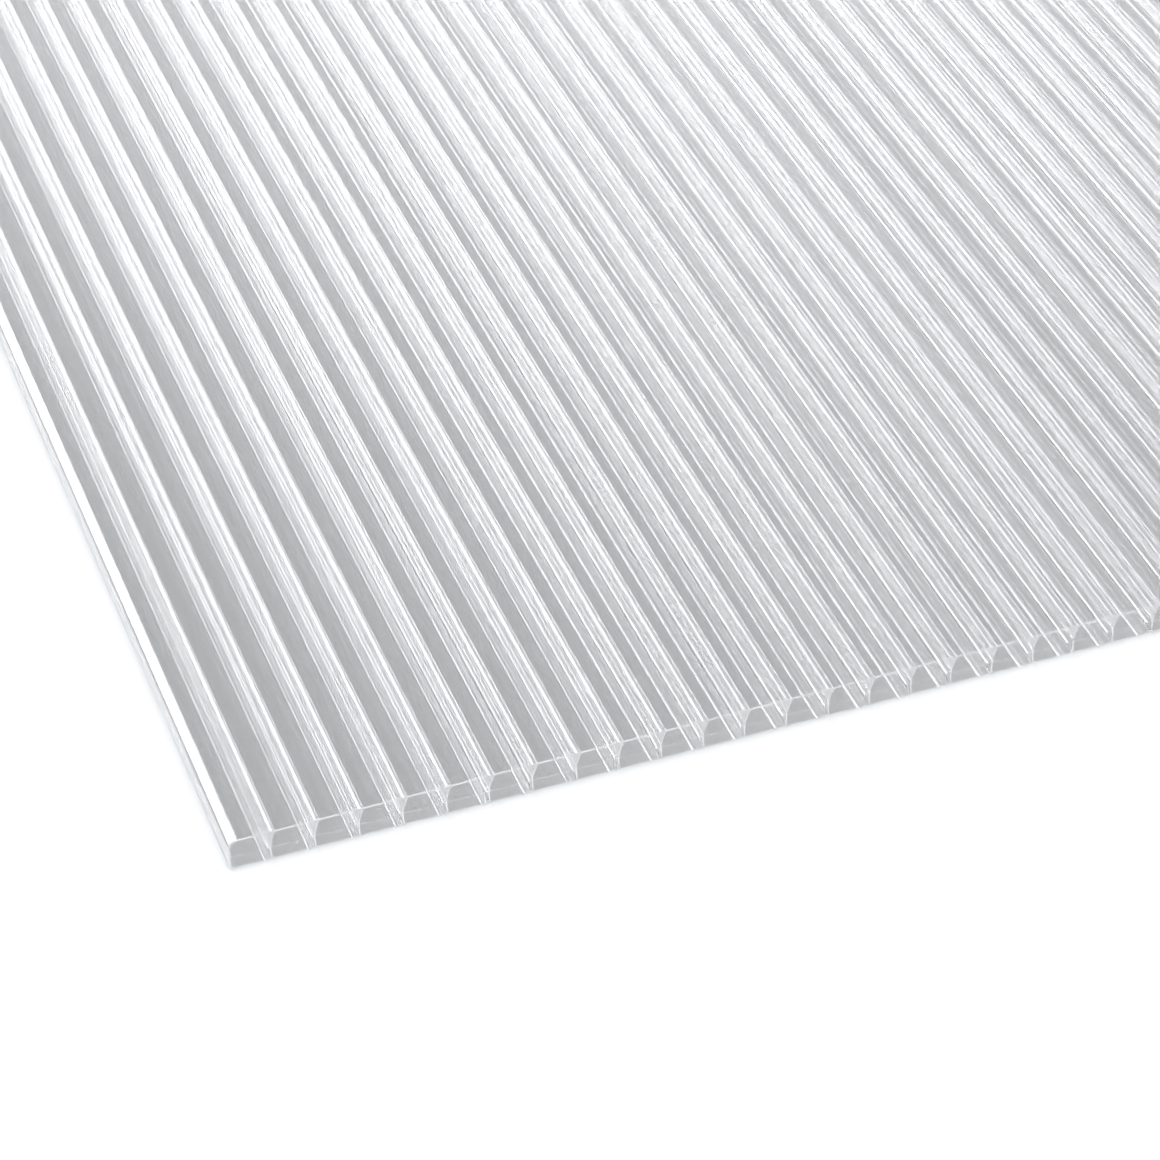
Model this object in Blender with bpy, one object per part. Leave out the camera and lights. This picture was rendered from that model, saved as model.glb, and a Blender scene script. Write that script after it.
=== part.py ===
"""Multiwall polycarbonate sheet, 16 mm thick, with three walls and a web every 20 mm.

The sheet is one extrusion: a single cross-section drawn in the X-Z plane and carried
along Y. Two rows of open channels run through it from end to end. The long edges are
closed, with a rounded upper corner, and both cut ends are square and open.

Frame: X across the ribs, Y along them, Z up. The origin is the middle of the underside.
Lengths are in metres.
"""

import math

import bmesh
import bpy

# Overall size of the sheet.
SHEET_WIDTH = 0.980
SHEET_LENGTH = 2.000
SHEET_THICKNESS = 0.016

# Walls. The membrane is the thin middle wall between the two rows of channels.
TOP_SKIN = 0.0009
BOTTOM_SKIN = 0.0007
MEMBRANE = 0.0002
WEB = 0.0005
EDGE_WALL = 0.0006

# Spacing of the webs. The cell at each long edge is measured from the outer face of the
# sheet to the middle of the first web, and the other webs share what is left evenly.
WEB_PITCH = 0.020
EDGE_CELL = 0.0188

# The membrane leaves the webs at this height above the underside and hangs a little
# between them.
MEMBRANE_HEIGHT = 0.0070
MEMBRANE_SAG = 0.0003

# Under the top skin each web opens into a tall, slim flare: how far it reaches along the
# skin from the face of the web, how far it runs down the web, and how full its curve is.
# A fullness of 1 is a straight gusset and 2 is a quarter of an ellipse.
FLARE_REACH = 0.0027
FLARE_DROP = 0.0072
FLARE_FULLNESS = 1.2

# Small rounds where the webs meet the membrane and the bottom skin.
MEMBRANE_ROUND = 0.0005
FLOOR_ROUND = 0.0008

# The long edges: the outer corners, and the broad haunch inside the upper one.
EDGE_TOP_RADIUS = 0.0040
EDGE_BOTTOM_RADIUS = 0.0012
EDGE_HAUNCH_REACH = 0.0050
EDGE_HAUNCH_DROP = 0.0058
EDGE_FLOOR_ROUND = 0.0013
ELLIPSE = 2.0

# A corner takes up at most this share of its channel's width, and two corners on one
# wall leave at least this much of it straight between them.
HALF_SHARE = 0.48
LEAST_STRAIGHT = 0.0002

# Straight steps that stand for each curve.
FLARE_STEPS = 6
HAUNCH_STEPS = 8
OUTER_STEPS = 8
ROUND_STEPS = 2
SAG_STEPS = 6

# Clear polycarbonate.
CLEAR_COLOUR = (0.80, 0.82, 0.83, 0.35)
CLEAR_ROUGHNESS = 0.06
CLEAR_IOR = 1.585


def clear_scene():
    """Remove every object the file starts with."""
    for item in list(bpy.data.objects):
        bpy.data.objects.remove(item, do_unlink=True)


def clear_plastic():
    """Colourless, glossy, see-through polycarbonate."""
    material = bpy.data.materials.new("clear_polycarbonate")
    material.use_nodes = True
    shader = material.node_tree.nodes["Principled BSDF"]
    shader.inputs["Base Color"].default_value = CLEAR_COLOUR[:3] + (1.0,)
    shader.inputs["Roughness"].default_value = CLEAR_ROUGHNESS
    shader.inputs["Metallic"].default_value = 0.0
    shader.inputs["IOR"].default_value = CLEAR_IOR
    shader.inputs["Alpha"].default_value = CLEAR_COLOUR[3]
    material.diffuse_color = CLEAR_COLOUR
    return material


def corner_curve(corner, reach, drop, fullness, steps):
    """Points that round off one corner, from the upright wall to the level one.

    corner is where the two walls would meet. reach is the signed distance along X at
    which the curve joins the level wall, and drop the signed distance along Z at which
    it joins the upright one.
    """
    power = 2.0 / fullness
    points = []
    for step in range(steps + 1):
        turn = 0.5 * math.pi * step / steps
        along = 1.0 - max(math.cos(turn), 0.0) ** power
        up = 1.0 - math.sin(turn) ** power
        points.append((corner[0] + reach * along, corner[1] + drop * up))
    return points


def corner_pair(left, right, level, rise, left_form, right_form):
    """The two rounded corners at one level of a channel, left then right.

    rise is 1 where the channel lies above that level and -1 where it lies below. Each
    form is (reach, drop, fullness, steps), with the sizes unsigned.
    """
    reach, drop, fullness, steps = left_form
    left_corner = corner_curve((left, level), reach, rise * drop, fullness, steps)
    reach, drop, fullness, steps = right_form
    right_corner = corner_curve((right, level), -reach, rise * drop, fullness, steps)
    return left_corner, right_corner


def fitted(form, width, height):
    """A corner form no larger than the walls it sits between leave room for."""
    reach, drop, fullness, steps = form
    return min(reach, width), min(drop, height), fullness, steps


def web_centres():
    """X of the middle of each web, from the left long edge to the right one."""
    first = EDGE_CELL - 0.5 * SHEET_WIDTH
    span = SHEET_WIDTH - 2.0 * EDGE_CELL
    gaps = max(1, round(span / WEB_PITCH))
    return [first + span * web / gaps for web in range(gaps + 1)]


def cell_sides():
    """(left, right, is_left_edge, is_right_edge) of the space in each column of channels."""
    centres = web_centres()
    lefts = [EDGE_WALL - 0.5 * SHEET_WIDTH] + [x + 0.5 * WEB for x in centres]
    rights = [x - 0.5 * WEB for x in centres] + [0.5 * SHEET_WIDTH - EDGE_WALL]
    last = len(lefts) - 1
    return [(lefts[i], rights[i], i == 0, i == last) for i in range(last + 1)]


def hanging_line(left, right, height):
    """Inner points of one face of the membrane between two walls, sagging as a parabola."""
    points = []
    for step in range(1, SAG_STEPS):
        share = step / SAG_STEPS
        sag = MEMBRANE_SAG * 4.0 * share * (1.0 - share)
        points.append((left + (right - left) * share, height - sag))
    return points


def upper_channel(left, right, left_edge, right_edge):
    """Outline of a channel between the membrane and the top skin, anticlockwise."""
    floor = MEMBRANE_HEIGHT + 0.5 * MEMBRANE
    roof = SHEET_THICKNESS - TOP_SKIN
    wall = roof - floor - MEMBRANE_ROUND - LEAST_STRAIGHT
    half = HALF_SHARE * (right - left)
    flare = fitted((FLARE_REACH, FLARE_DROP, FLARE_FULLNESS, FLARE_STEPS), half, wall)
    haunch = fitted((EDGE_HAUNCH_REACH, EDGE_HAUNCH_DROP, ELLIPSE, HAUNCH_STEPS), half, wall)
    small = (MEMBRANE_ROUND, MEMBRANE_ROUND, ELLIPSE, ROUND_STEPS)

    floor_left, floor_right = corner_pair(left, right, floor, 1.0, small, small)
    roof_left, roof_right = corner_pair(
        left, right, roof, -1.0, haunch if left_edge else flare, haunch if right_edge else flare
    )
    return (
        floor_left
        + hanging_line(left, right, floor)
        + floor_right[::-1]
        + roof_right
        + roof_left[::-1]
    )


def lower_channel(left, right, left_edge, right_edge):
    """Outline of a channel between the bottom skin and the membrane, anticlockwise."""
    floor = BOTTOM_SKIN
    roof = MEMBRANE_HEIGHT - 0.5 * MEMBRANE
    wall = roof - floor - MEMBRANE_ROUND - LEAST_STRAIGHT
    half = HALF_SHARE * (right - left)
    inner = fitted((FLOOR_ROUND, FLOOR_ROUND, ELLIPSE, ROUND_STEPS), half, wall)
    outer = fitted((EDGE_FLOOR_ROUND, EDGE_FLOOR_ROUND, ELLIPSE, ROUND_STEPS), half, wall)
    small = (MEMBRANE_ROUND, MEMBRANE_ROUND, ELLIPSE, ROUND_STEPS)

    floor_left, floor_right = corner_pair(
        left, right, floor, 1.0, outer if left_edge else inner, outer if right_edge else inner
    )
    roof_left, roof_right = corner_pair(left, right, roof, -1.0, small, small)
    return (
        floor_left
        + floor_right[::-1]
        + roof_right
        + hanging_line(left, right, roof)[::-1]
        + roof_left[::-1]
    )


def outer_outline():
    """Outline of the whole sheet's section, anticlockwise."""
    side = 0.5 * SHEET_WIDTH
    low = (EDGE_BOTTOM_RADIUS, EDGE_BOTTOM_RADIUS, ELLIPSE, ROUND_STEPS)
    high = (EDGE_TOP_RADIUS, EDGE_TOP_RADIUS, ELLIPSE, OUTER_STEPS)
    bottom_left, bottom_right = corner_pair(-side, side, 0.0, 1.0, low, low)
    top_left, top_right = corner_pair(-side, side, SHEET_THICKNESS, -1.0, high, high)
    return bottom_left + bottom_right[::-1] + top_right + top_left[::-1]


def section_outlines():
    """The outer outline, then the outline of every channel."""
    outlines = [outer_outline()]
    for cell in cell_sides():
        outlines.append(lower_channel(*cell))
        outlines.append(upper_channel(*cell))
    return outlines


def add_loop(mesh, outline):
    """Draw one closed outline at the front end and return its edges."""
    front = -0.5 * SHEET_LENGTH
    verts = [mesh.verts.new((x, front, z)) for x, z in outline]
    return [mesh.edges.new((verts[i - 1], verts[i])) for i in range(len(verts))]


def extruded_sheet():
    """Fill the section between its outlines and extrude it along the ribs."""
    mesh = bmesh.new()
    edges = []
    for outline in section_outlines():
        edges += add_loop(mesh, outline)
    bmesh.ops.triangle_fill(mesh, edges=edges, use_beauty=True, normal=(0.0, -1.0, 0.0))
    moved = bmesh.ops.extrude_face_region(mesh, geom=list(mesh.faces), use_keep_orig=True)
    far_end = [item for item in moved["geom"] if isinstance(item, bmesh.types.BMVert)]
    bmesh.ops.translate(mesh, vec=(0.0, SHEET_LENGTH, 0.0), verts=far_end)
    bmesh.ops.recalc_face_normals(mesh, faces=list(mesh.faces))
    return mesh


def build_sheet():
    """The sheet as one named object with its own material."""
    mesh = extruded_sheet()
    data = bpy.data.meshes.new("multiwall_sheet")
    mesh.to_mesh(data)
    mesh.free()
    data.materials.append(clear_plastic())
    data.shade_smooth()
    data.set_sharp_from_angle(angle=math.radians(30.0))
    sheet = bpy.data.objects.new("multiwall_sheet", data)
    bpy.context.scene.collection.objects.link(sheet)
    return sheet


clear_scene()
build_sheet()
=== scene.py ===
"""A clear multiwall polycarbonate sheet in a pale studio.

The sheet is one extrusion, so one tree of Geometry Nodes draws its cross-section from
named sizes, fills it and carries it along the ribs. The plastic is real refracting
material: the white bands over the webs are the soft light behind the sheet, seen in the
corners that the webs make with the skins.

Frame: metres, X across the ribs, Y along them, Z up, origin in the middle of the
underside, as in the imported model.
"""

import logging
import math
from dataclasses import dataclass, field
from enum import Enum
from typing import Any

import bpy
from mathutils import Matrix, Vector


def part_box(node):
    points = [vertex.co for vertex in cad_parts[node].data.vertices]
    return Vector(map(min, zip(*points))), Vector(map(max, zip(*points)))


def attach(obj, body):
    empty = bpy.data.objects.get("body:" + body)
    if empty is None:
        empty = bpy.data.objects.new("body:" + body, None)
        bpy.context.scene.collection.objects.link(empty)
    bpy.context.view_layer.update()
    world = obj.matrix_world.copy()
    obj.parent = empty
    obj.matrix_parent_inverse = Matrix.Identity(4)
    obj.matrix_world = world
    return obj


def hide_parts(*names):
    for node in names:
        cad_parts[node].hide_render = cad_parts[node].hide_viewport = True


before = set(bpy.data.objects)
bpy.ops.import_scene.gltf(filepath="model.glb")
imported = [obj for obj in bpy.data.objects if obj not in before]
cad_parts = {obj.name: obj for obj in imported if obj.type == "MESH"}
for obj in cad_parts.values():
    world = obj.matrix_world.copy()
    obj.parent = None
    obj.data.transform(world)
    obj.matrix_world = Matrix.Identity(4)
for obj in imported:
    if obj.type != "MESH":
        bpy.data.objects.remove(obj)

LOG = logging.getLogger("clear_sheet")
CAD_NODE = "multiwall_sheet"

Colour = tuple[float, float, float]
Point = tuple[float, float, float]


class Zone(Enum):
    """The stretches of the sheet's surface that have a finish of their own."""

    WALL = "channel_wall"
    SKIN = "outer_skin"
    SAWN = "sawn_end"


class NodeBoard:
    """A node tree with short calls to add nodes, set their inputs and link them."""

    ROW_LENGTH = 40
    NODE_SPACE = 180.0
    ROW_SPACE = 220.0

    def __init__(self, tree: bpy.types.NodeTree) -> None:
        """Start on an existing tree.

        Args:
            tree: The tree that the calls add nodes to.
        """
        self.tree = tree
        self.count = 0

    def add(self, kind: str, inputs: dict[str, Any] | None = None, **settings: Any) -> bpy.types.Node:
        """Add one node.

        Args:
            kind: The node's Blender type name.
            inputs: Values or output sockets, by input name or identifier.
            settings: The node's own properties.

        Returns:
            The new node.
        """
        node = self.tree.nodes.new(kind)
        row, column = divmod(self.count, self.ROW_LENGTH)
        node.location = (self.NODE_SPACE * column, -self.ROW_SPACE * row)
        self.count += 1
        for name, value in settings.items():
            setattr(node, name, value)
        for name, value in (inputs or {}).items():
            self.feed(self.socket(node, name), value)
        return node

    def socket(self, node: bpy.types.Node, name: str) -> bpy.types.NodeSocket:
        """Find an input of a node by its identifier or, failing that, by its name.

        Args:
            node: The node that has the input.
            name: The input's identifier or name.

        Returns:
            The input socket.
        """
        for found in node.inputs:
            if found.identifier == name:
                return found
        return node.inputs[name]

    def feed(self, target: bpy.types.NodeSocket, value: Any) -> None:
        """Set an input to a plain value, or link what feeds it.

        Args:
            target: The input socket.
            value: A number, vector or material, a socket, a Term, or a list of sockets.
        """
        if isinstance(value, Term):
            value = value.socket
        if isinstance(value, bpy.types.NodeSocket):
            self.tree.links.new(value, target)
        elif isinstance(value, list):
            for source in value:
                self.tree.links.new(source, target)
        else:
            target.default_value = value

    def term(self, socket: bpy.types.NodeSocket) -> "Term":
        """A number socket as something that arithmetic works on."""
        return Term(self, socket)

    def math(self, operation: str, *values: Any) -> "Term":
        """One Math node.

        Args:
            operation: The Math node's operation.
            values: Its one, two or three inputs.

        Returns:
            Its result.
        """
        names = ("Value", "Value_001", "Value_002")
        node = self.add("ShaderNodeMath", dict(zip(names, values)), operation=operation)
        return Term(self, node.outputs[0])

    def vector(self, x: Any, y: Any, z: Any) -> bpy.types.NodeSocket:
        """The three numbers as one vector socket."""
        return self.add("ShaderNodeCombineXYZ", {"X": x, "Y": y, "Z": z}).outputs[0]

    def split(self, vector: bpy.types.NodeSocket) -> tuple["Term", "Term", "Term"]:
        """The three numbers of a vector socket."""
        node = self.add("ShaderNodeSeparateXYZ", {"Vector": vector})
        return tuple(Term(self, out) for out in node.outputs)


class Term:
    """A number in a node tree. Arithmetic on it adds Math nodes."""

    def __init__(self, board: NodeBoard, socket: bpy.types.NodeSocket) -> None:
        """Wrap one output socket of a tree.

        Args:
            board: The tree that the socket is in.
            socket: The socket that holds the number.
        """
        self.board = board
        self.socket = socket

    def __add__(self, other: Any) -> "Term":
        """This number plus another."""
        return self.board.math("ADD", self, other)

    def __sub__(self, other: Any) -> "Term":
        """This number less another."""
        return self.board.math("SUBTRACT", self, other)

    def __rsub__(self, other: Any) -> "Term":
        """Another number less this one."""
        return self.board.math("SUBTRACT", other, self)

    def __mul__(self, other: Any) -> "Term":
        """This number times another."""
        return self.board.math("MULTIPLY", self, other)

    __radd__ = __add__
    __rmul__ = __mul__

    def __rtruediv__(self, other: Any) -> "Term":
        """Another number divided by this one."""
        return self.board.math("DIVIDE", other, self)

    def __truediv__(self, other: Any) -> "Term":
        """This number divided by another."""
        return self.board.math("DIVIDE", self, other)

    def __pow__(self, other: Any) -> "Term":
        """This number to the power of another."""
        return self.board.math("POWER", self, other)

    def below(self, other: Any) -> "Term":
        """1 where this number is less than another, else 0."""
        return self.board.math("LESS_THAN", self, other)

    def above(self, other: Any) -> "Term":
        """1 where this number is more than another, else 0."""
        return self.board.math("GREATER_THAN", self, other)

    def blend(self, low: Any, high: Any) -> "Term":
        """low where this number is 0, high where it is 1, and the straight mix between."""
        return self * high + (1.0 - self) * low


@dataclass(frozen=True)
class Corner:
    """How one corner of an outline is rounded.

    A fullness of 2 is a quarter of an ellipse, and 1 is a straight chamfer.
    """

    reach: float
    drop: float
    fullness: float = 2.0


class Outline:
    """The node group that draws one closed outline with four rounded corners.

    The points run anticlockwise: the floor from left to right, the right wall upwards,
    the roof from right to left and the left wall downwards. A row is one half of them:
    the floor with the right wall, or the roof with the left wall. The floor and the roof
    may each hang as a parabola.
    """

    CORNER_STEPS = 7
    SPAN_POINTS = 16
    WALL_POINTS = 4
    CORNERS = ("Floor Left", "Floor Right", "Roof Right", "Roof Left")

    def __init__(self) -> None:
        """Build the group."""
        self.tree = bpy.data.node_groups.new("rounded_outline", "GeometryNodeTree")
        face = self.tree.interface
        for name in ("Left", "Right", "Floor", "Roof", "Floor Sag", "Roof Sag"):
            face.new_socket(name=name, in_out="INPUT", socket_type="NodeSocketFloat")
        for corner in self.CORNERS:
            for size in ("Reach", "Drop", "Fullness"):
                face.new_socket(name=f"{corner} {size}", in_out="INPUT", socket_type="NodeSocketFloat")
        face.new_socket(name="Outline", in_out="OUTPUT", socket_type="NodeSocketGeometry")
        self._draw()

    def _draw(self) -> None:
        """Place the points by their index and join them to a closed curve."""
        board = NodeBoard(self.tree)
        given = board.add("NodeGroupInput")
        size = {out.name: board.term(out) for out in given.outputs if out.name}
        last = self.CORNER_STEPS
        level_row = 2 * (last + 1) + self.SPAN_POINTS
        row = level_row + self.WALL_POINTS

        index = board.term(board.add("GeometryNodeInputIndex").outputs[0])
        on_roof = index.above(row - 0.5)
        place = index - on_roof * row
        second = place.above(last + self.SPAN_POINTS + 0.5)
        in_span = place.above(last + 0.5) * (1.0 - second)
        on_wall = place.above(level_row - 0.5)

        near, far = (self._corner(size, on_roof, which) for which in (0, 1))
        reach, drop, fullness = (second.blend(a, b) for a, b in zip(near, far))
        step = second.blend(place, (level_row - 1) - place) / last
        turn = board.math("MAXIMUM", board.math("MINIMUM", step, 1.0), 0.0) * (0.5 * math.pi)
        power = 2.0 / fullness
        along = 1.0 - board.math("MAXIMUM", board.math("COSINE", turn), 0.0) ** power
        rise = 1.0 - board.math("SINE", turn) ** power

        width = size["Right"] - size["Left"]
        share = (place - last) / (self.SPAN_POINTS + 1)
        between = near[0] + (width - near[0] - far[0]) * share
        from_start = in_span.blend(second.blend(reach * along, width - reach * along), between)
        x = on_roof.blend(size["Left"] + from_start, size["Right"] - from_start)
        across = (x - size["Left"]) / width
        sag = on_roof.blend(size["Floor Sag"], size["Roof Sag"]) * across * (1.0 - across) * 4.0
        lift = drop * rise * (1.0 - in_span)
        z = on_roof.blend(size["Floor"] + lift, size["Roof"] - lift) - sag

        climb = (place - (level_row - 1)) / (self.WALL_POINTS + 1)
        up = (size["Floor"] + size["Floor Right Drop"], size["Roof"] - size["Roof Right Drop"])
        down = (size["Roof"] - size["Roof Left Drop"], size["Floor"] + size["Floor Left Drop"])
        wall_z = on_roof.blend(climb.blend(*up), climb.blend(*down))
        x = on_wall.blend(x, on_roof.blend(size["Right"], size["Left"]))
        z = on_wall.blend(z, wall_z)

        points = board.add(
            "GeometryNodePoints",
            {"Count": 2 * row, "Position": board.vector(x, z, 0.0)},
        )
        curve = board.add("GeometryNodePointsToCurves", {"Points": points.outputs[0]})
        closed = board.add(
            "GeometryNodeSetSplineCyclic",
            {"Geometry": curve.outputs[0], "Cyclic": True},
        )
        board.add("NodeGroupOutput", {"Outline": closed.outputs[0]})

    def _corner(self, size: dict[str, Term], on_roof: Term, which: int) -> tuple[Term, ...]:
        """Reach, drop and fullness of the first or the second corner of the row.

        Args:
            size: The group's inputs by name.
            on_roof: 1 on the roof's row, 0 on the floor's.
            which: 0 for the row's first corner, 1 for its second.

        Returns:
            The three numbers.
        """
        below, above = self.CORNERS[which], self.CORNERS[2 + which]
        names = ("Reach", "Drop", "Fullness")
        return tuple(on_roof.blend(size[f"{below} {n}"], size[f"{above} {n}"]) for n in names)

    def place(
        self, board: NodeBoard, bounds: dict[str, Any], corners: dict[str, Corner]
    ) -> bpy.types.NodeSocket:
        """Add this group to a tree.

        Args:
            board: The tree that gets the outline.
            bounds: Left, Right, Floor, Roof and, where they hang, Floor Sag and Roof Sag.
            corners: The four corners by name.

        Returns:
            The outline as a closed curve.
        """
        inputs = {"Floor Sag": 0.0, "Roof Sag": 0.0, **bounds}
        for name, corner in corners.items():
            inputs[f"{name} Reach"] = corner.reach
            inputs[f"{name} Drop"] = corner.drop
            inputs[f"{name} Fullness"] = corner.fullness
        node = board.add("GeometryNodeGroup", node_tree=self.tree)
        for name, value in inputs.items():
            board.feed(node.inputs[name], value)
        return node.outputs[0]


@dataclass(frozen=True)
class PolishedPlastic:
    """Clear extruded plastic as it leaves the die.

    Light shines through it, so that what lies under the sheet is lit. The die's broad
    waves are in the mesh, and line_depth adds its finest lines where it is over 0.
    """

    name: str
    tint: Colour = (1.0, 1.0, 1.0)
    lamp_share: float = 0.976
    roughness: float = 0.0
    ior: float = 1.585
    line_depth: float = 0.0
    line_pitch: float = 0.0016

    def make(self) -> bpy.types.Material:
        """Build the material.

        Returns:
            The material with its node tree.
        """
        material = bpy.data.materials.new(self.name)
        material.use_nodes = True
        material.node_tree.nodes.clear()
        board = NodeBoard(material.node_tree)
        surface = {"Color": (*self.tint, 1.0), "Roughness": self.roughness, "IOR": self.ior}
        if self.line_depth > 0.0:
            surface["Normal"] = self._die_lines(board)
        glass = board.add("ShaderNodeBsdfGlass", surface)
        pale = (self.lamp_share,) * 3 + (1.0,)
        clear = board.add("ShaderNodeBsdfTransparent", {"Color": pale})
        rays = board.add("ShaderNodeLightPath")
        mix = board.add("ShaderNodeMixShader")
        board.feed(mix.inputs[0], rays.outputs["Is Shadow Ray"])
        board.feed(mix.inputs[1], glass.outputs[0])
        board.feed(mix.inputs[2], clear.outputs[0])
        board.add("ShaderNodeOutputMaterial", {"Surface": mix.outputs[0]})
        return material

    def _die_lines(self, board: NodeBoard) -> bpy.types.NodeSocket:
        """Fine lines, straight along the ribs.

        Args:
            board: The material's node tree.

        Returns:
            The normal that they give.
        """
        x, _, _ = board.split(board.add("ShaderNodeTexCoord").outputs["Object"])
        noise = board.add(
            "ShaderNodeTexNoise",
            {"W": x / self.line_pitch, "Scale": 1.0, "Detail": 0.0},
            noise_dimensions="1D",
        )
        bump = board.add("ShaderNodeBump", {"Height": noise.outputs["Fac"], "Distance": self.line_depth})
        return bump.outputs[0]


@dataclass(frozen=True)
class SawnEnd:
    """The cut end of a sheet: a white burr along every edge, and clearer plastic between.

    Thin walls are all burr. Where the section is broad, as in the flares over the webs,
    its middle lets some of the light through.
    """

    name: str
    burr: Colour = (0.97, 0.97, 0.97)
    burr_width: float = 0.0007
    middle_tint: Colour = (0.98, 0.985, 0.99)
    middle_roughness: float = 0.12
    ior: float = 1.585
    score_pitch: float = 0.0004
    score_stretch: float = 8.0
    score_depth: float = 0.00002
    score_strength: float = 0.5
    bevel_samples: int = 8
    edge_likeness: float = 0.93
    middle_likeness: float = 0.9995
    middle_burr: float = 0.60

    def make(self) -> bpy.types.Material:
        """Build the material.

        Returns:
            The material with its node tree.
        """
        material = bpy.data.materials.new(self.name)
        material.use_nodes = True
        material.node_tree.nodes.clear()
        board = NodeBoard(material.node_tree)
        x, _, z = board.split(board.add("ShaderNodeTexCoord").outputs["Object"])
        scores = board.add(
            "ShaderNodeTexNoise",
            {
                "Vector": board.vector(
                    x / self.score_pitch, 0.0, z / (self.score_stretch * self.score_pitch)
                ),
                "Scale": 1.0,
                "Detail": 3.0,
            },
        )
        bump = board.add(
            "ShaderNodeBump",
            {
                "Height": scores.outputs["Fac"],
                "Distance": self.score_depth,
                "Strength": self.score_strength,
            },
        )
        frosted = board.add(
            "ShaderNodeBsdfDiffuse",
            {"Color": (*self.burr, 1.0), "Normal": bump.outputs[0]},
        )
        glass = board.add(
            "ShaderNodeBsdfGlass",
            {
                "Color": (*self.middle_tint, 1.0),
                "Roughness": self.middle_roughness,
                "IOR": self.ior,
                "Normal": bump.outputs[0],
            },
        )
        mix = board.add("ShaderNodeMixShader")
        board.feed(mix.inputs[0], self._near_edge(board))
        board.feed(mix.inputs[1], glass.outputs[0])
        board.feed(mix.inputs[2], frosted.outputs[0])
        board.add("ShaderNodeOutputMaterial", {"Surface": mix.outputs[0]})
        return material

    def _near_edge(self, board: NodeBoard) -> Term:
        """The burr's share, which is whole at an edge of the cut and less further in.

        A bevelled normal leaves the true one near an edge, so how alike the two are tells
        how far away the nearest edge is.

        Args:
            board: The material's node tree.

        Returns:
            The share, from middle_burr to 1.
        """
        rounded = board.add(
            "ShaderNodeBevel", {"Radius": self.burr_width}, samples=self.bevel_samples
        )
        flat = board.add("ShaderNodeNewGeometry").outputs["True Normal"]
        alike = board.add(
            "ShaderNodeVectorMath",
            {"Vector": rounded.outputs[0], "Vector_001": flat},
            operation="DOT_PRODUCT",
        )
        ramp = board.add(
            "ShaderNodeMapRange",
            {
                "Value": alike.outputs["Value"],
                "From Min": self.edge_likeness,
                "From Max": self.middle_likeness,
                "To Min": 1.0,
                "To Max": self.middle_burr,
            },
        )
        return board.term(ramp.outputs[0])


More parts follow.
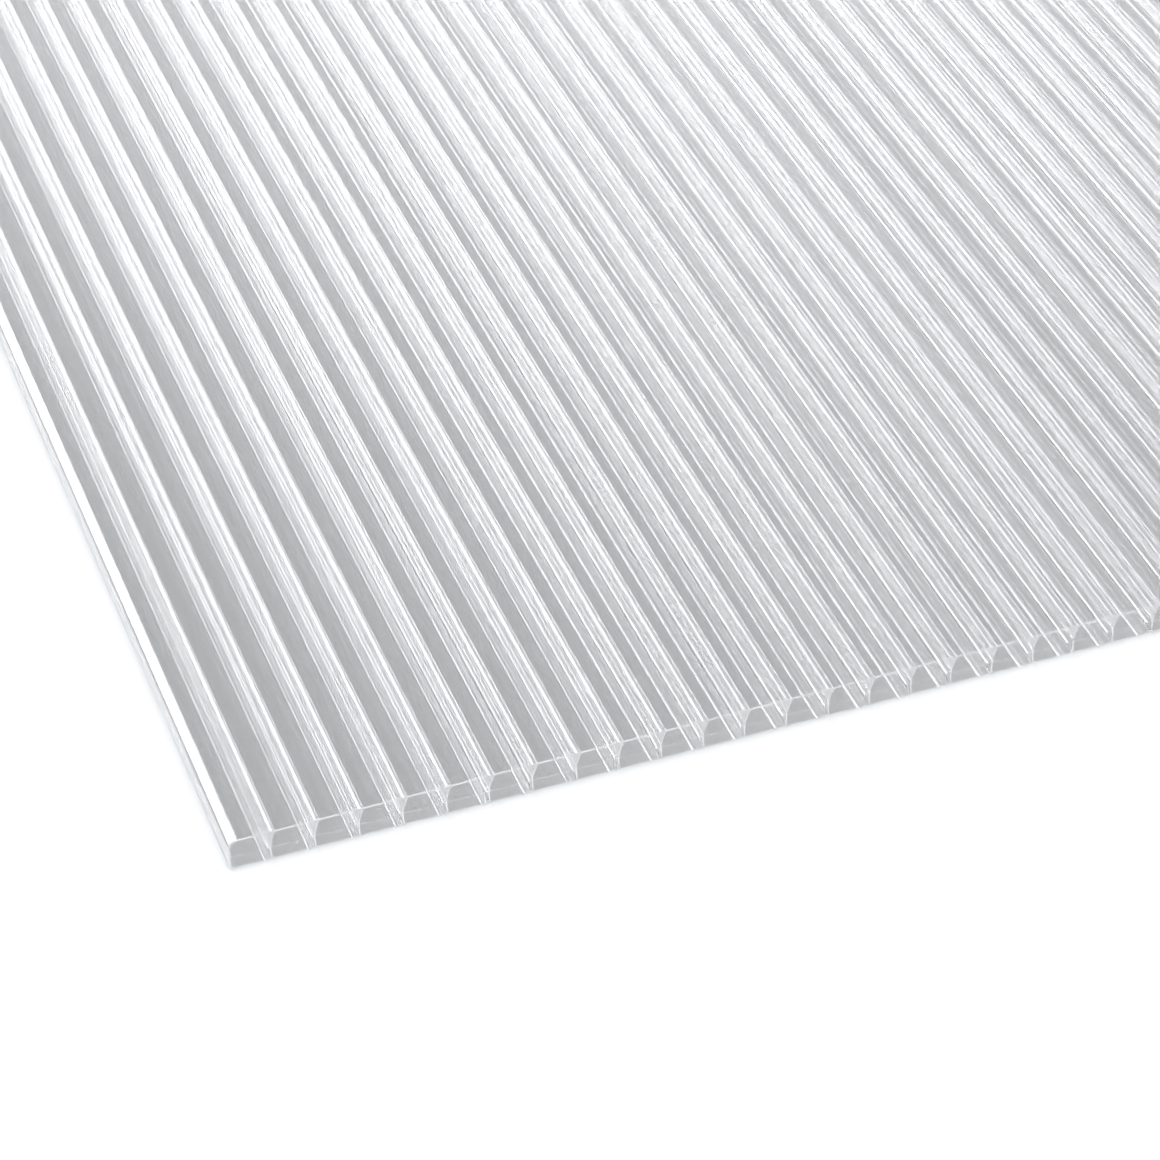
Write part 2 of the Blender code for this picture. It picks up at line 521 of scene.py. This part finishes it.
@dataclass
class MultiwallSheet:
    """The whole sheet, drawn from the sizes of its section.

    The overall width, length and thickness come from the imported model. The waves' depth
    and pitch are those of the inner faces, their drift is the distance across the sheet
    over which they change, and their fineness is the share of their finer ripples.
    """

    name: str = "clear_multiwall_sheet"
    columns: int = 49
    edge_cell: float = 0.0188
    top_skin: float = 0.0009
    bottom_skin: float = 0.0007
    membrane: float = 0.0002
    web: float = 0.0005
    edge_wall: float = 0.0006
    membrane_height: float = 0.0070
    membrane_sag: float = 0.0003
    flare: Corner = Corner(0.0027, 0.0072, 1.2)
    haunch: Corner = Corner(0.0042, 0.0055)
    membrane_round: Corner = Corner(0.0005, 0.0005)
    floor_round: Corner = Corner(0.0008, 0.0008)
    edge_floor_round: Corner = Corner(0.0013, 0.0013)
    edge_top_round: Corner = Corner(0.0040, 0.0040)
    edge_bottom_round: Corner = Corner(0.0012, 0.0012)
    web_wander: float = 0.0005
    wander_seed: int = 3
    wave_depth: float = 0.000032
    wave_pitch: float = 0.0045
    wave_drift: float = 0.30
    wave_fineness: float = 0.45
    crease_degrees: float = 28.0
    weld_distance: float = 1e-7
    finishes: dict[Zone, PolishedPlastic | SawnEnd] = field(default_factory=dict)
    width: float = field(init=False, default=0.0)
    length: float = field(init=False, default=0.0)
    thickness: float = field(init=False, default=0.0)

    def build(self) -> bpy.types.Object:
        """Draw the sheet and turn it into a plain mesh.

        Returns:
            The finished object, at the origin.
        """
        low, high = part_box(CAD_NODE)
        self.width, self.length, self.thickness = high - low
        host = bpy.data.objects.new("section_host", bpy.data.meshes.new("section_host"))
        bpy.context.scene.collection.objects.link(host)
        drawn = host.modifiers.new("section", "NODES")
        drawn.node_group = self._tree()
        self._set_inputs(drawn)
        smooth = host.modifiers.new("flat_walls_stay_flat", "WEIGHTED_NORMAL")
        smooth.mode = "FACE_AREA"
        smooth.weight = 100
        smooth.keep_sharp = True
        view = bpy.context.evaluated_depsgraph_get()
        mesh = bpy.data.meshes.new_from_object(host.evaluated_get(view), depsgraph=view)
        mesh.name = self.name
        for index in reversed(range(len(mesh.materials))):
            if mesh.materials[index] is None:
                mesh.materials.pop(index=index)
        sheet = bpy.data.objects.new(self.name, mesh)
        bpy.context.scene.collection.objects.link(sheet)
        bpy.data.objects.remove(host)
        return sheet

    def dress(self, sheet: bpy.types.Object) -> None:
        """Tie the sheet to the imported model.

        Args:
            sheet: The finished sheet.
        """
        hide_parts(CAD_NODE)
        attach(sheet, "root")

    def _tree(self) -> bpy.types.NodeTree:
        """The tree that draws the section, fills it and carries it along the ribs.

        Returns:
            The node tree, with the sheet's sizes as named inputs.
        """
        tree = bpy.data.node_groups.new("multiwall_extrusion", "GeometryNodeTree")
        face = tree.interface
        for name in ("Width", "Length", "Thickness", "Web Wander", "Wave Depth"):
            face.new_socket(name=name, in_out="INPUT", socket_type="NodeSocketFloat")
        for name in ("Inner Columns", "Seed"):
            face.new_socket(name=name, in_out="INPUT", socket_type="NodeSocketInt")
        face.new_socket(name="Geometry", in_out="OUTPUT", socket_type="NodeSocketGeometry")
        board = NodeBoard(tree)
        given = board.add("NodeGroupInput")
        size = {out.name: board.term(out) for out in given.outputs if out.name}

        outlines = self._outlines(board, size)
        section = board.add("GeometryNodeFillCurve", {"Curve": outlines}, mode="TRIANGLES")
        flipped = board.add("GeometryNodeFlipFaces", {"Mesh": section.outputs[0]})
        carried = board.add(
            "GeometryNodeExtrudeMesh",
            {"Mesh": section.outputs[0], "Offset Scale": size["Length"], "Individual": False},
            mode="FACES",
        )
        whole = board.add("GeometryNodeJoinGeometry")
        board.feed(whole.inputs[0], [flipped.outputs[0], carried.outputs[0]])
        sealed = board.add(
            "GeometryNodeMergeByDistance",
            {"Geometry": whole.outputs[0], "Distance": self.weld_distance},
        )
        laid = board.add(
            "GeometryNodeTransform",
            {
                "Geometry": sealed.outputs[0],
                "Rotation": (0.5 * math.pi, 0.0, 0.0),
                "Translation": board.vector(0.0, size["Length"] * 0.5, 0.0),
            },
        )
        board.add("NodeGroupOutput", {"Geometry": self._finished(board, laid.outputs[0])})
        return tree

    def _outlines(self, board: NodeBoard, size: dict[str, Term]) -> bpy.types.NodeSocket:
        """Every outline of the section: the outside, the two edge cells, the inner cells.

        Args:
            board: The tree that gets them.
            size: The tree's inputs by name.

        Returns:
            The outlines as closed curves.
        """
        outline = Outline()
        half = size["Width"] * 0.5
        first = self.edge_cell - half
        span = size["Width"] - 2.0 * self.edge_cell
        pitch = span / size["Inner Columns"]
        outside = outline.place(
            board,
            {"Left": half * -1.0, "Right": half, "Floor": 0.0, "Roof": size["Thickness"]},
            {
                "Floor Left": self.edge_bottom_round,
                "Floor Right": self.edge_bottom_round,
                "Roof Right": self.edge_top_round,
                "Roof Left": self.edge_top_round,
            },
        )
        wall = 0.5 * self.web
        left_walls = (self.edge_wall - half, first - wall)
        right_walls = (first * -1.0 + wall, half - self.edge_wall)
        inner_walls = (pitch * -0.5 + wall, pitch * 0.5 - wall)
        left_cell = self._cell(board, outline, size, left_walls, (True, False))
        right_cell = self._cell(board, outline, size, right_walls, (False, True))
        inner_cell = self._cell(board, outline, size, inner_walls, (False, False))
        inner = board.add("GeometryNodeJoinGeometry")
        board.feed(inner.inputs[0], inner_cell)
        centres = board.add(
            "GeometryNodeMeshLine",
            {
                "Count": size["Inner Columns"],
                "Start Location": board.vector(first + pitch * 0.5, 0.0, 0.0),
                "Offset": board.vector(pitch, 0.0, 0.0),
            },
        )
        placed = board.add(
            "GeometryNodeInstanceOnPoints",
            {"Points": centres.outputs[0], "Instance": inner.outputs[0]},
        )
        made = board.add("GeometryNodeRealizeInstances", {"Geometry": placed.outputs[0]})
        channels = board.add("GeometryNodeJoinGeometry")
        board.feed(channels.inputs[0], [*left_cell, *right_cell, made.outputs[0]])
        leaning = self._wander(board, channels.outputs[0], size, first, pitch)
        wavy = self._die_waves(board, leaning, size, pitch)
        every = board.add("GeometryNodeJoinGeometry")
        board.feed(every.inputs[0], [outside, wavy])
        return every.outputs[0]

    def _cell(
        self,
        board: NodeBoard,
        outline: Outline,
        size: dict[str, Term],
        walls: tuple[Term, Term],
        at_edge: tuple[bool, bool],
    ) -> list[bpy.types.NodeSocket]:
        """The lower and the upper channel between two walls.

        Args:
            board: The tree that gets them.
            outline: The group that draws an outline.
            size: The tree's inputs by name.
            walls: X of the faces of the left and the right wall.
            at_edge: Whether each wall is a long edge of the sheet.

        Returns:
            The two outlines.
        """
        left, right = walls
        floors = [self.edge_floor_round if edge else self.floor_round for edge in at_edge]
        roofs = [self.haunch if edge else self.flare for edge in at_edge]
        small = self.membrane_round
        lower = outline.place(
            board,
            {
                "Left": left,
                "Right": right,
                "Floor": self.bottom_skin,
                "Roof": self.membrane_height - 0.5 * self.membrane,
                "Roof Sag": self.membrane_sag,
            },
            {
                "Floor Left": floors[0],
                "Floor Right": floors[1],
                "Roof Right": small,
                "Roof Left": small,
            },
        )
        upper = outline.place(
            board,
            {
                "Left": left,
                "Right": right,
                "Floor": self.membrane_height + 0.5 * self.membrane,
                "Roof": size["Thickness"] - self.top_skin,
                "Floor Sag": self.membrane_sag,
            },
            {
                "Floor Left": small,
                "Floor Right": small,
                "Roof Right": roofs[1],
                "Roof Left": roofs[0],
            },
        )
        return [lower, upper]

    def _wander(
        self,
        board: NodeBoard,
        channels: bpy.types.NodeSocket,
        size: dict[str, Term],
        first: Term,
        pitch: Term,
    ) -> bpy.types.NodeSocket:
        """Lean each web a little to one side, as webs set while the die pulls them.

        Both faces of a web belong to different channels, so each point moves with the
        web that is nearest to it. The edge walls stay where they are.

        Args:
            board: The tree that draws the section.
            channels: The outlines of the channels.
            size: The tree's inputs by name.
            first: X of the middle of the first web.
            pitch: The distance between webs.

        Returns:
            The outlines, leaning.
        """
        x, z, _ = board.split(board.add("GeometryNodeInputPosition").outputs[0])
        nearest = board.math("ROUND", (x - first) / pitch)
        inner = nearest.above(-0.5) * nearest.below(size["Inner Columns"] + 0.5)
        lean = board.add(
            "FunctionNodeRandomValue",
            {"Min_001": -1.0, "Max_001": 1.0, "ID": nearest, "Seed": size["Seed"]},
            data_type="FLOAT",
        )
        foot = 1.0 - z / size["Thickness"]
        chosen = next(out for out in lean.outputs if out.enabled)
        shift = board.term(chosen) * size["Web Wander"] * foot * inner
        moved = board.add(
            "GeometryNodeSetPosition",
            {"Geometry": channels, "Offset": board.vector(shift, 0.0, 0.0)},
        )
        return moved.outputs[0]

    def _die_waves(
        self, board: NodeBoard, channels: bpy.types.NodeSocket, size: dict[str, Term], pitch: Term
    ) -> bpy.types.NodeSocket:
        """Give the inner faces the shallow waves that the die leaves along the ribs.

        A wave on a level wall moves it up and down, and one on a web from side to side.
        Neighbouring channels have nearly the same waves, which drift across the sheet.

        Args:
            board: The tree that draws the section.
            channels: The outlines of the channels.
            size: The tree's inputs by name.
            pitch: The distance between webs.

        Returns:
            The outlines, wavy.
        """
        x, z, _ = board.split(board.add("GeometryNodeInputPosition").outputs[0])
        in_cell = board.math("WRAP", x, pitch * 0.5, pitch * -0.5)
        drift = size["Seed"] * 10.0 + x / self.wave_drift
        noise = board.add(
            "ShaderNodeTexNoise",
            {
                "Vector": board.vector(in_cell / self.wave_pitch, z / self.wave_pitch, drift),
                "Scale": 1.0,
                "Detail": 2.0,
                "Roughness": self.wave_fineness,
            },
            noise_dimensions="3D",
            normalize=False,
        )
        sideways, upwards, _ = board.split(noise.outputs["Color"])
        moved = board.add(
            "GeometryNodeSetPosition",
            {
                "Geometry": channels,
                "Offset": board.vector(sideways * size["Wave Depth"], upwards * size["Wave Depth"], 0.0),
            },
        )
        return moved.outputs[0]

    def _finished(self, board: NodeBoard, solid: bpy.types.NodeSocket) -> bpy.types.NodeSocket:
        """Shade the solid, and give each zone its material.

        Args:
            board: The tree that makes the solid.
            solid: The closed extrusion in its place.

        Returns:
            The same solid with its materials.
        """
        angle = board.term(board.add("GeometryNodeInputMeshEdgeAngle").outputs[0])
        smooth = board.add("GeometryNodeSetShadeSmooth", {"Geometry": solid, "Shade Smooth": True})
        crisp = board.add(
            "GeometryNodeSetShadeSmooth",
            {
                "Geometry": smooth.outputs[0],
                "Shade Smooth": angle.below(math.radians(self.crease_degrees)),
            },
            domain="EDGE",
        )
        real = board.add("GeometryNodeRealizeInstances", {"Geometry": crisp.outputs[0]})
        normal = board.add("GeometryNodeInputNormal").outputs["True Normal"]
        along = board.split(normal)[1]
        x, _, z = board.split(board.add("GeometryNodeInputPosition").outputs[0])
        half_width, half_height = 0.5 * self.width, 0.5 * self.thickness
        past_side = board.math("ABSOLUTE", x).above(half_width - 0.5 * self.edge_wall)
        past_skin = board.math("ABSOLUTE", z - half_height).above(
            half_height - 0.5 * self.bottom_skin
        )
        chosen = {
            Zone.WALL: True,
            Zone.SKIN: board.math("MAXIMUM", past_side, past_skin),
            Zone.SAWN: board.math("ABSOLUTE", along).above(0.9),
        }
        geometry = real.outputs[0]
        for zone, selection in chosen.items():
            material = self.finishes[zone].make()
            painted = board.add(
                "GeometryNodeSetMaterial",
                {"Geometry": geometry, "Selection": selection, "Material": material},
            )
            geometry = painted.outputs[0]
        return geometry

    def _set_inputs(self, modifier: bpy.types.Modifier) -> None:
        """Set the tree's inputs by their identifiers, before it is first evaluated.

        Args:
            modifier: The Geometry Nodes modifier that runs the tree.
        """
        values = {
            "Width": self.width,
            "Length": self.length,
            "Thickness": self.thickness,
            "Web Wander": self.web_wander,
            "Wave Depth": self.wave_depth,
            "Inner Columns": self.columns - 2,
            "Seed": self.wander_seed,
        }
        for item in modifier.node_group.interface.items_tree:
            if item.in_out == "INPUT":
                modifier[item.identifier] = values[item.name]


@dataclass
class PhotoCamera:
    """The camera at the photograph's viewing angle.

    The sheet's near corner at the photographed end is the point that the view was solved
    from. The focal length is in pixels of the 1160 pixel frame.
    """

    azimuth: float = -18.31
    elevation: float = 37.83
    roll: float = -2.25
    focal_pixels: float = 4032.4
    frame_pixels: float = 1160.0
    sensor: float = 36.0
    nearest: float = 0.05
    farthest: float = 200.0
    location: Point = (-0.751083, -2.286422, 1.163090)

    def build(self) -> bpy.types.Object:
        """Create the camera and make it the scene's own.

        Returns:
            The camera object.
        """
        data = bpy.data.cameras.new("photo_camera")
        data.sensor_width = self.sensor
        data.lens = self.sensor * self.focal_pixels / self.frame_pixels
        data.clip_start, data.clip_end = self.nearest, self.farthest
        camera = bpy.data.objects.new("photo_camera", data)
        camera.matrix_world = self._matrix()
        bpy.context.scene.collection.objects.link(camera)
        bpy.context.scene.camera = camera
        return camera

    def _matrix(self) -> Matrix:
        """The camera's place and turn.

        Returns:
            The camera's matrix in the frame.
        """
        turn, rise, tilt = (math.radians(a) for a in (self.azimuth, self.elevation, self.roll))
        back = Vector(
            (math.sin(turn) * math.cos(rise), -math.cos(turn) * math.cos(rise), math.sin(rise))
        )
        level = (-back).cross(Vector((0.0, 0.0, 1.0))).normalized()
        upright = level.cross(-back)
        right = level * math.cos(tilt) + upright * math.sin(tilt)
        up = upright * math.cos(tilt) - level * math.sin(tilt)
        turned = Matrix((right, up, back)).transposed().to_4x4()
        return Matrix.Translation(self.location) @ turned


@dataclass(frozen=True)
class SoftPanel:
    """One soft-edged panel of light on the studio's dome.

    Angles are in degrees. The azimuth runs from +Y towards +X, and the elevation up from
    the floor.
    """

    azimuth: float
    elevation: float
    half_width: float
    half_height: float
    edge: float
    strength: float

    def add_to(self, board: NodeBoard, azimuth: Term, elevation: Term) -> Term:
        """The panel's share of the dome's light.

        Args:
            board: The world's node tree.
            azimuth: The azimuth of the direction looked in, in degrees.
            elevation: Its elevation, in degrees.

        Returns:
            The panel's strength in that direction.
        """
        turn = board.math("WRAP", azimuth - self.azimuth, 180.0, -180.0)
        across = self._falloff(board, turn, self.half_width)
        upward = self._falloff(board, elevation - self.elevation, self.half_height)
        return across * upward * self.strength

    def _falloff(self, board: NodeBoard, away: Term, half: float) -> Term:
        """1 on the panel, 0 past its soft edge.

        Args:
            board: The world's node tree.
            away: The angle from the panel's middle, in degrees.
            half: Half the panel's size that way, without its soft edge.

        Returns:
            The share of the panel's light.
        """
        ramp = board.add(
            "ShaderNodeMapRange",
            {
                "Value": board.math("ABSOLUTE", away),
                "From Min": half,
                "From Max": half + self.edge,
                "To Min": 1.0,
                "To Max": 0.0,
            },
            interpolation_type="SMOOTHSTEP",
        )
        return board.term(ramp.outputs[0])


@dataclass
class Studio:
    """The pale floor under a dome of soft light."""

    floor_size: float = 40.0
    floor_gap: float = 0.0002
    floor_tone: Colour = (0.90, 0.90, 0.90)
    light_tone: Colour = (0.965, 0.98, 1.0)
    room: float = 0.26
    light_bounces: int = 40
    clear_bounces: int = 48
    noise_limit: float = 0.1
    panels: tuple[SoftPanel, ...] = (
        SoftPanel(-8.0, 38.0, 4.0, 8.0, 9.0, 5.5),
        SoftPanel(-12.0, 38.0, 6.0, 8.0, 15.0, 2.8),
        SoftPanel(0.0, 66.0, 180.0, 4.0, 14.0, 3.05),
        SoftPanel(110.0, 0.0, 95.0, 14.0, 26.0, 1.0),
    )

    def build(self) -> bpy.types.Object:
        """Light the dome, set up the light paths and lay the floor.

        Returns:
            The floor object.
        """
        self._dome()
        self._light_paths()
        return self._floor()

    def _floor(self) -> bpy.types.Object:
        """A plain matt floor just under the sheet.

        Returns:
            The floor object.
        """
        material = bpy.data.materials.new("pale_floor")
        material.use_nodes = True
        material.node_tree.nodes.clear()
        board = NodeBoard(material.node_tree)
        matt = board.add("ShaderNodeBsdfDiffuse", {"Color": (*self.floor_tone, 1.0)})
        board.add("ShaderNodeOutputMaterial", {"Surface": matt.outputs[0]})
        half = 0.5 * self.floor_size
        around = ((-half, -half), (half, -half), (half, half), (-half, half))
        corners = [(x, y, -self.floor_gap) for x, y in around]
        mesh = bpy.data.meshes.new("studio_floor")
        mesh.from_pydata(corners, [], [(0, 1, 2, 3)])
        mesh.materials.append(material)
        floor = bpy.data.objects.new("studio_floor", mesh)
        bpy.context.scene.collection.objects.link(floor)
        return floor

    def _dome(self) -> None:
        """A dim even room with the panels on it."""
        world = bpy.data.worlds.new("studio_dome")
        world.use_nodes = True
        world.node_tree.nodes.clear()
        board = NodeBoard(world.node_tree)
        x, y, z = board.split(board.add("ShaderNodeTexCoord").outputs["Generated"])
        azimuth = board.math("DEGREES", board.math("ARCTAN2", x, y))
        elevation = board.math("DEGREES", board.math("ARCSINE", z))
        light: Any = self.room
        for panel in self.panels:
            light = light + panel.add_to(board, azimuth, elevation)
        dome = board.add(
            "ShaderNodeBackground",
            {"Color": (*self.light_tone, 1.0), "Strength": light},
        )
        board.add("ShaderNodeOutputWorld", {"Surface": dome.outputs[0]})
        bpy.context.scene.world = world

    def _light_paths(self) -> None:
        """Let light pass the many walls of the sheet, and show plain, unfiltered tones.

        The denoiser looks at the colour alone, because the other passes are too noisy in
        clear plastic and would wrinkle its straight lines.
        """
        scene = bpy.context.scene
        scene.cycles.max_bounces = self.light_bounces
        scene.cycles.transmission_bounces = self.light_bounces
        scene.cycles.glossy_bounces = self.light_bounces
        scene.cycles.transparent_max_bounces = self.clear_bounces
        scene.cycles.adaptive_threshold = self.noise_limit
        scene.cycles.denoising_input_passes = "RGB"
        scene.cycles.caustics_reflective = False
        scene.cycles.caustics_refractive = False
        scene.view_settings.view_transform = "Standard"


def main() -> None:
    """Build the camera, the sheet and the studio."""
    logging.basicConfig(level=logging.INFO, format="%(name)s: %(message)s")
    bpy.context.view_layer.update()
    PhotoCamera().build()
    sheet = MultiwallSheet(
        finishes={
            Zone.WALL: PolishedPlastic("clear_channel_wall"),
            Zone.SKIN: PolishedPlastic("clear_outer_skin", line_depth=0.000004),
            Zone.SAWN: SawnEnd("sawn_end"),
        }
    )
    piece = sheet.build()
    sheet.dress(piece)
    mesh = piece.data
    LOG.info("%s: %d faces, %d materials", piece.name, len(mesh.polygons), len(mesh.materials))
    floor = Studio().build()
    LOG.info("%s laid", floor.name)


if __name__ == "__main__":
    main()
